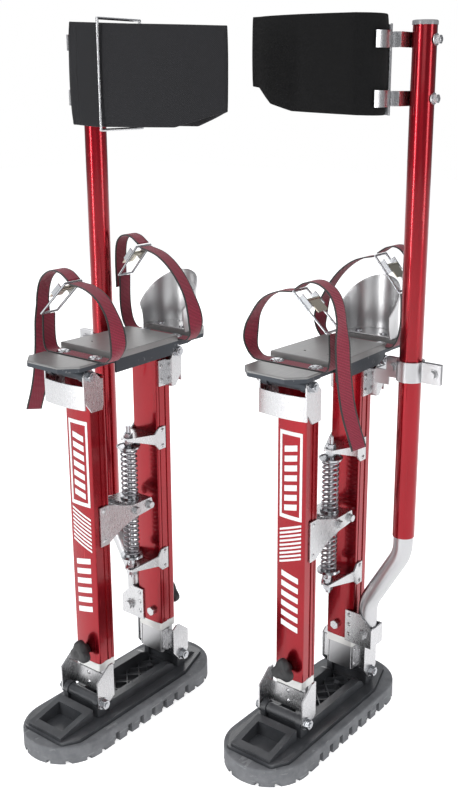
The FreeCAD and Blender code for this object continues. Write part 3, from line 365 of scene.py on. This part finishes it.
deck_coat = Finish("deck_coat", Metallic=0.55)
spot = deck_coat.place()
drawn = deck_coat.noise(spot, 500.0, 3.0, 0.6, (1.0, 0.03, 1.0))
cloud = deck_coat.noise(spot, 16.0, 4.0, 0.6)
rub = deck_coat.noise(spot, 90.0, 4.0, 0.7, (0.5, 1.4, 1.0))
height = deck_coat.axes(spot)[2]
upper = height > 0.6008
tone = deck_coat.blend(upper, (0.045, 0.052, 0.062, 1.0), deck_coat.blend(
    cloud, (0.20, 0.20, 0.198, 1.0), (0.31, 0.308, 0.305, 1.0)))
deck_coat.paint("Base Color", deck_coat.blend((rub > 0.64) * 0.25, tone, (0.40, 0.40, 0.39, 1.0)))
deck_coat.paint("Roughness", 0.30 + drawn * 0.16 + cloud * 0.1)
deck_coat.emboss(drawn, 0.0003, 0.4)
dress("foot_plate", deck_coat)

# ---- Heel cups ---------------------------------------------------------------
# Thin spun and polished shells, fixed to the back of the foot plate.

polished = bright_metal("polished_shell", (0.58, 0.58, 0.585, 1.0), 0.24, (1.0, 1.0, 0.2), 200.0)

for side in SIDES:
    turn = np.radians(np.linspace(-104.0, 104.0, 81))[:, None]
    rise = np.linspace(0.0, 1.0, 33)[None, :]
    crest = 24.0 + 63.0 * np.cos(turn * 0.80) ** 0.8
    lip = 45.0 + 1.2 * rise ** 3 - 1.4 * np.sin(np.pi * rise)
    x = lip * np.sin(turn)
    y = 135.2 + lip * np.cos(turn) - 4.0 * rise * (1.0 - np.cos(turn)) ** 2
    z = 608.2 + crest * rise + 0.0 * turn
    cup = surface(side + "_heel_shell", side, np.stack([x, y, z], axis=-1)[::-1], polished)
    wall = cup.modifiers.new("wall", "SOLIDIFY")
    wall.thickness = 0.0018
    wall.offset = 0.0
    edge = cup.modifiers.new("edge", "BEVEL")
    edge.width = 0.0006
    edge.segments = 2
    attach(cup, side + "_foot_deck")

    across = np.linspace(-1.0, 1.0, 41)[:, None]
    back = np.linspace(0.0, 1.0, 25)[None, :]
    reach = np.sqrt(np.maximum(44.4 ** 2 - (43.0 * across) ** 2, 0.0))
    x = 43.0 * across + 0.0 * back
    y = 133.5 + (reach + 1.0) * back
    z = 608.8 + 0.0 * x
    base = surface(side + "_heel_base", side, np.stack([x, y, z], axis=-1), polished)
    wall = base.modifiers.new("wall", "SOLIDIFY")
    wall.thickness = 0.0022
    wall.offset = 0.0
    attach(base, side + "_foot_deck")
    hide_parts(side + "_heel_cup")

# ---- Springs -----------------------------------------------------------------
# Two compression springs per stilt, one each side of the yoke, on one rod. The wire is round
# and its end turns are closed up flat against the seats.

spring_steels = {"upper": bright_metal("upper_spring_steel", (0.42, 0.41, 0.44, 1.0), 0.24),
                 "lower": bright_metal("lower_spring_steel", (0.34, 0.33, 0.35, 1.0), 0.26)}


def coil(low, high, radius, wire, turns):
    """A round wire on a helix: the angle grows evenly, and the height follows a smoothed share
    of it, so that the first and last turns lie flat."""
    t = np.linspace(0.0, 1.0, int(turns * 26))
    share = np.clip((t * turns - 1.0) / (turns - 2.0), 0.0, 1.0)
    flat = np.minimum(t * turns, 1.0) + np.maximum(t * turns - turns + 1.0, 0.0)
    rise = 0.1 * flat / 2.0 + 0.9 * share
    angle = 2.0 * np.pi * turns * t
    ring = np.linspace(0.0, 2.0 * np.pi, 9)[:-1]
    out = radius - wire + wire * np.cos(ring)[None, :]
    x = out * np.cos(angle)[:, None]
    y = out * np.sin(angle)[:, None] + 37.0
    z = low + wire + (high - low - 2.0 * wire) * rise[:, None] + wire * np.sin(ring)[None, :]
    return np.stack([x, y, z], axis=-1)[:, ::-1]


for side in SIDES:
    made = []
    for level, low, high, radius, turns in (("upper", 354.7, 433.8, 13.5, 10.5),
                                            ("lower", 254.2, 323.3, 12.9, 9.5)):
        spring = surface("_".join((side, level, "spring")), side, coil(low, high, radius, 1.75, turns),
                         spring_steels[level], (False, True), caps=True)
        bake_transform(spring)
        made.append(spring)
    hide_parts(side + "_springs")

# ---- Knobs -------------------------------------------------------------------
# Three-lobed moulded knobs that clamp the leg extension, black and slightly satin.

knob_plastic = Finish("knob_plastic", Roughness=0.45)
spot = knob_plastic.place()
cloud = knob_plastic.noise(spot, 60.0, 3.0)
knob_plastic.paint("Base Color", knob_plastic.blend(
    cloud, (0.008, 0.008, 0.009, 1.0), (0.022, 0.022, 0.024, 1.0)))
knob_plastic.paint("Roughness", 0.36 + cloud * 0.2)
knob_plastic.emboss(knob_plastic.noise(spot, 1500.0, 2.0), 0.0003, 0.5)

for side in SIDES:
    for which, face, way, z in (("front", -67.25, -1.0, 133.0), ("rear", 109.25, 1.0, 150.0)):
        turn = np.linspace(0.0, 2.0 * np.pi, 97)[:-1][None, :]
        # each row: distance out from the leg, radius, and how strongly the three lobes show
        outline = np.array([(0.9, 3.9, 0.0), (0.9, 7.8, 0.0), (3.0, 8.4, 0.02), (7.5, 10.8, 0.08),
                            (9.6, 14.3, 0.24), (10.4, 15.4, 0.27), (12.5, 16.0, 0.28), (18.0, 16.0, 0.28),
                            (20.6, 15.4, 0.27), (21.6, 14.0, 0.24), (22.3, 10.0, 0.14), (22.6, 6.0, 0.03),
                            (21.8, 4.5, 0.0), (21.6, 0.05, 0.0)])
        step, radius, lobed = (outline[:, k][:, None] for k in range(3))
        radius = radius * (1.0 + lobed * np.cos(3.0 * (turn - np.pi / 2.0)) * 0.8)
        out = face + way * (step + 0.0 * turn)
        grid = np.stack([radius * np.cos(turn), out, z + radius * np.sin(turn)], axis=-1)
        knob = surface("_".join((side, which, "knob_grip")), side, grid if way > 0 else grid[:, ::-1],
                       knob_plastic, (False, True), caps=True)
        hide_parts("_".join((side, which, "knob")))
        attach(knob, "_".join((side, which, "clamp_knob")))

# ---- Straps ------------------------------------------------------------------
# 25 mm ribbed polyester webbing, burgundy with black selvedges. Each strap crosses the foot
# plate in a groove, rises each side of the boot and runs through a cam buckle.

RIB_PITCH = 0.0021
webbing = Finish("burgundy_webbing", Roughness=0.8, Sheen_Weight=0.25, Sheen_Roughness=0.5)
weave = webbing.node("ShaderNodeUVMap", {"uv_map": "weave"})
across, along, _ = webbing.axes(weave)
middle = abs(across - 0.5)
selvedge = middle > 0.40
rib = (along * (2.0 * math.pi / RIB_PITCH)).wave()
herring = (across * 60.0 + along * 2600.0).wave()
fuzz = webbing.noise(webbing.place(), 700.0, 3.0)
red = webbing.blend(rib * 0.75 + fuzz * 0.3, (0.07, 0.001, 0.008, 1.0), (0.36, 0.010, 0.045, 1.0))
black = webbing.blend(herring, (0.006, 0.006, 0.006, 1.0), (0.035, 0.035, 0.035, 1.0))
webbing.paint("Base Color", webbing.blend(selvedge, red, black))
webbing.emboss(rib * 0.8 + herring * 0.25 + fuzz * 0.3, 0.0007, 0.9)


def run(points, count):
    """A smooth line through points, evenly spaced along its length: between each two it is the
    cubic whose slopes come from their neighbours."""
    points = np.asarray(points, float)
    padded = np.concatenate([2 * points[:1] - points[1:2], points, 2 * points[-1:] - points[-2:-1]])
    t = np.linspace(0.0, 1.0, 41)[:-1][None, :, None]
    a, b, c, d = (padded[k:len(padded) - 3 + k, None, :] for k in range(4))
    bend, twist = 2 * a - 5 * b + 4 * c - d, 3 * b - a - 3 * c + d
    fine = 0.5 * (2 * b + (c - a) * t + bend * t ** 2 + twist * t ** 3)
    fine = np.concatenate([fine.reshape(-1, points.shape[1]), points[-1:]])
    length = np.concatenate([[0.0], np.cumsum(np.linalg.norm(np.diff(fine, axis=0), axis=1))])
    even = np.linspace(0.0, length[-1], count)
    line = np.stack([np.interp(even, length, fine[:, k]) for k in range(points.shape[1])], axis=-1)
    return line, even


STRAP_TWIST = math.radians(24.0)


def strap(name, side, route, y, width=25.0, thick=1.7):
    """Webbing along a route of (x, z) points: a flat section with soft corners, its width along
    Y and its thickness along the route's normal n. Where it hangs free it twists by an angle a,
    so the width lies along Y cos a + n sin a and the thickness along n cos a - Y sin a."""
    line, even = run(route, max(60, 9 * len(route)))
    slope = np.gradient(line, axis=0)
    slope /= np.linalg.norm(slope, axis=1, keepdims=True)
    normal = np.stack([-slope[:, 1], slope[:, 0]], axis=-1)
    half = width / 2.0
    section = np.array([(-half, 0.2), (-half + 0.5, 0.5), (-half * 0.82, 0.5), (-half * 0.4, 0.5), (0.0, 0.5),
                        (half * 0.4, 0.5), (half * 0.82, 0.5), (half - 0.5, 0.5), (half, 0.2), (half, -0.2),
                        (half - 0.5, -0.5), (half * 0.82, -0.5), (half * 0.4, -0.5), (0.0, -0.5),
                        (-half * 0.4, -0.5), (-half * 0.82, -0.5), (-half + 0.5, -0.5), (-half, -0.2)])
    wide, deep = section[:, 0][None, :], section[:, 1][None, :] * thick
    # free is 1 where the webbing hangs clear of its buckle and, on a loop, of the foot plate
    outward = np.sign(np.mean(np.sum(normal * (line - (0.0, 650.0)), axis=1)))
    facing = outward * np.clip(outward * (normal[:, 0] * SIDES[side] + normal[:, 1]) * 1.5, -1.0, 1.0)
    free = np.clip((675.0 - line[:, 1]) / 40.0, 0.0, 1.0)
    if line[:, 1].min() > 590.0:
        free = free * np.clip((line[:, 1] - 608.0) / 26.0, 0.0, 1.0) * (line[:, 0] < 0.0)
    turn = (STRAP_TWIST * facing * free * free * (3.0 - 2.0 * free))[:, None]
    aside = wide * np.sin(turn) + deep * np.cos(turn)
    level = wide * np.cos(turn) - deep * np.sin(turn)
    x, z = line[:, :1] + normal[:, :1] * aside, line[:, 1:] + normal[:, 1:] * aside
    grid = np.stack([x, y + level, z], axis=-1)
    uv = np.stack([wide / width + 0.5 + 0.0 * even[:, None], even[:, None] / 1000.0 + 0.0 * wide], axis=-1)
    return surface(name, side, grid, webbing, (False, True), uv, caps=True)


FRONT_Y = -57.0
REAR_Y = 114.0
GROOVE_Z = 601.95
GROOVE_RUN = [(x, GROOVE_Z) for x in (-60, -56, -52, -48, -44, -30, 0, 28, 36, 40, 44, 48, 52, 55)]
STRAP_ROUTES = {
    "front_strap_loop": (FRONT_Y, [(2, 707), (-28, 703), (-54, 689), (-73, 662), (-80, 634), (-77, 615),
                                   (-68, 604.5)] + GROOVE_RUN + [(60, 607), (62.5, 623), (61, 655)]),
    "front_strap_tail": (FRONT_Y, [(4, 711), (20, 721), (41, 722), (61, 709), (71, 686), (75, 650), (79, 600),
                                   (88, 550), (106, 500)]),
    "rear_strap_loop": (REAR_Y, [(26, 736), (-8, 727), (-37, 706), (-60, 675), (-73, 642), (-74, 617),
                                 (-67, 604.5)] + GROOVE_RUN + [(62, 606), (69, 619), (73, 645), (72, 686)]),
    "rear_strap_tail": (REAR_Y, [(30, 741), (46, 751), (63, 752), (76, 740), (80, 713), (80, 668)])}

for side in SIDES:
    made = []
    for strap_name, (y, route) in STRAP_ROUTES.items():
        band = strap(side + "_" + strap_name, side, route, y)
        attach(band, side + "_foot_deck")
        made.append(band)
    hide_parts(side + "_foot_straps")

# ---- Calf cuffs --------------------------------------------------------------
# Foam-filled bands, flattened into a loop that the calf support holds by its outer end: black
# nylon twill shows on the right one, and the loop pile it fastens to on the left one.

CUFF_WALL = 9.4
CUFF_END_Y = 36.0
CUFF_END_R = 38.0
# per cuff: where its outer end is centred, the far side of its loop, its lower and upper edge
CUFFS = {
    "left": (34.0, [(-40, 72), (-100, 62), (-134, 51), (-152, 40), (-134, 28), (-100, 13), (-40, 0)],
             [(-152, 975), (-135, 973), (-104, 951), (-60, 942), (90, 937)], [(-152, 1072), (90, 1069)]),
    "right": (40.0, [(-60, 73), (-130, 67), (-178, 54), (-200, 40), (-178, 26), (-130, 10), (-60, 0)],
              [(-210, 946), (-130, 922), (10, 920), (90, 924)], [(-210, 1052), (-60, 1058), (90, 1066)])}

twill = Finish("black_twill", Roughness=0.75, Specular_IOR_Level=0.22, Sheen_Weight=0.03, Sheen_Roughness=0.4)
weave = twill.node("ShaderNodeUVMap", {"uv_map": "weave"})
around, up, _ = twill.axes(weave)
ridge = (around * 2500.0 + up * 2500.0).wave()
cross = (around * 3600.0 - up * 3600.0).wave()
cloud = twill.noise(twill.place(), 30.0, 4.0, 0.6)
tone = twill.blend(ridge * 0.6 + cross * 0.2 + cloud * 0.3,
                   (0.002, 0.002, 0.0025, 1.0), (0.022, 0.022, 0.025, 1.0))
twill.paint("Base Color", tone)
twill.paint("Roughness", 0.62 + cloud * 0.2)
twill.emboss(ridge * 0.7 + cross * 0.3 + cloud * 2.0, 0.0005, 0.7)

loop_pile = Finish("loop_pile", Roughness=0.95, Specular_IOR_Level=0.12, Sheen_Weight=0.03,
                   Sheen_Roughness=0.6)
fuzz = loop_pile.noise(loop_pile.place(), 480.0, 5.0, 0.8)
lint = loop_pile.noise(loop_pile.place(), 95.0, 5.0, 0.8)
loop_pile.paint("Base Color", loop_pile.blend(fuzz * 0.7 + (lint > 0.66) * 0.25, (0.002, 0.002, 0.002, 1.0),
                                              (0.014, 0.014, 0.015, 1.0)))
loop_pile.emboss(fuzz + lint * 0.6, 0.0016, 0.9)

for side in SIDES:
    end_x, far_side, hem, brim = CUFFS[side]
    end = np.radians(np.linspace(-90.0, 90.0, 7))
    outer = np.stack([end_x + CUFF_END_R * np.cos(end), CUFF_END_Y + CUFF_END_R * np.sin(end)], axis=-1)
    ring = np.concatenate([outer, np.array(far_side, float)])
    lap = np.concatenate([ring[-2:], ring, ring[:3]])
    line, even = run(lap, 900)
    start = np.argmin(np.linalg.norm(line[:200] - ring[0], axis=1))
    stop = 700 + np.argmin(np.linalg.norm(line[700:] - ring[0], axis=1))
    pick = np.linspace(start, stop, 241)[:-1].astype(int)
    line, even = line[pick], even[pick] - even[start]
    slope = np.roll(line, -2, axis=0) - np.roll(line, 2, axis=0)
    slope /= np.linalg.norm(slope, axis=1, keepdims=True)
    inward = np.stack([-slope[:, 1], slope[:, 0]], axis=-1)
    # how deep the wall may go: half way to the wall across, as a circle that touches both
    gap = line[None, :, :] - line[:, None, :]
    ahead = np.maximum(np.sum(gap * inward[:, None, :], axis=-1), 1e-6)
    apart = np.sum(gap ** 2, axis=-1)
    room = np.min(np.where(apart > 1.0, apart / (2.0 * ahead), 1e6), axis=1)
    room = np.minimum(room * 0.94, CUFF_WALL)[:, None] / CUFF_WALL
    # a padded section: two faces that swell between bound edges
    height = np.linspace(0.0, 1.0, 37)
    swell = 0.5 * np.sin(np.pi * np.clip(height, 0.02, 0.98)) ** 0.35
    depth = np.concatenate([0.5 - swell, (0.5 + swell)[::-1]]) * CUFF_WALL
    lift = np.concatenate([height, height[::-1]])
    wander = np.sin(line[:, 0] * 0.055 + 0.8) + 0.6 * np.sin(line[:, 0] * 0.021 - line[:, 1] * 0.05)
    wander = wander[:, None]
    crease = 0.45 * wander * np.sin(2.0 * np.pi * lift)[None, :] * np.sin(np.pi * lift)[None, :]
    inset = (0.3 + depth[None, :] * 0.985 + np.clip(crease, -0.28, 0.5)) * room
    low = np.interp(line[:, :1], *np.array(hem, float).T) + 0.5
    top = np.interp(line[:, :1], *np.array(brim, float).T) - 0.7
    z = low + (top - low) * lift[None, :]
    x = line[:, :1] + inward[:, :1] * inset
    y = line[:, 1:] + inward[:, 1:] * inset
    uv = np.stack([even[:, None] / 1000.0 + 0.0 * z, z / 1000.0], axis=-1)
    cloth = twill if side == "right" else loop_pile
    grid = np.stack([x, y, z], axis=-1)
    cuff = surface(side + "_cuff_band", side, grid[::-1], cloth, (True, True), uv[::-1])
    cuff.modifiers.new("soften", "SUBSURF").levels = 1
    cuff.modifiers["soften"].render_levels = 1
    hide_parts(side + "_calf_cuff")
    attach(cuff, side + "_calf_support")

# ---- Decals ------------------------------------------------------------------
# Thin white vinyl on each front leg's crowned face: a plain panel, slanted hatching and bars,
# with no lettering.

vinyl = Finish("white_vinyl", Roughness=0.35)
cloud = vinyl.noise(vinyl.place(), 80.0, 4.0)
vinyl.paint("Base Color", vinyl.blend(cloud, (0.74, 0.74, 0.75, 1.0), (0.86, 0.86, 0.86, 1.0)))
vinyl.paint("Roughness", 0.28 + cloud * 0.15)

CROWN_R = 160.0
CROWN_Y = -67.25
# each shape: x from and to, z from and to, and how much it slants
panels = [(-19.5, -15.5, 372.0, 506.0, 0.0), (15.5, 19.5, 372.0, 506.0, 0.0),
          (-19.5, 19.5, 500.0, 506.0, 0.0), (-19.5, 19.5, 372.0, 378.0, 0.0)]
panels += [(-11.0, 11.0, 386.0 + 15.0 * k, 395.0 + 15.0 * k, 5.0) for k in range(7)]
panels += [(-19.0, 19.0, 306.0 + 6.4 * k, 309.2 + 6.4 * k, 14.0) for k in range(9)]
panels += [(-15.0, 15.0, 196.0 + 16.0 * k, 205.0 + 16.0 * k, -7.0) for k in range(6)]

for side in SIDES:
    made = []
    for number, (x0, x1, z0, z1, slant) in enumerate(panels):
        share = np.linspace(0.0, 1.0, 15)[:, None]
        edge = np.array([0.0, 1.0])[None, :]
        x = x0 + (x1 - x0) * share + 0.0 * edge
        z = z0 + (z1 - z0) * edge + slant * (share - 0.5)
        y = CROWN_Y + (CROWN_R - np.sqrt(CROWN_R ** 2 - x ** 2)) - 0.22
        grid = np.stack([x, y, z], axis=-1)
        made.append(surface("_".join((side, "decal", str(number))), side, grid, vinyl))
    chosen = {"active_object": made[0], "selected_editable_objects": made, "selected_objects": made}
    with bpy.context.temp_override(**chosen):
        bpy.ops.object.join()
    decal = made[0]
    decal.name = side + "_leg_decal"
    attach(decal, side + "_front_leg")
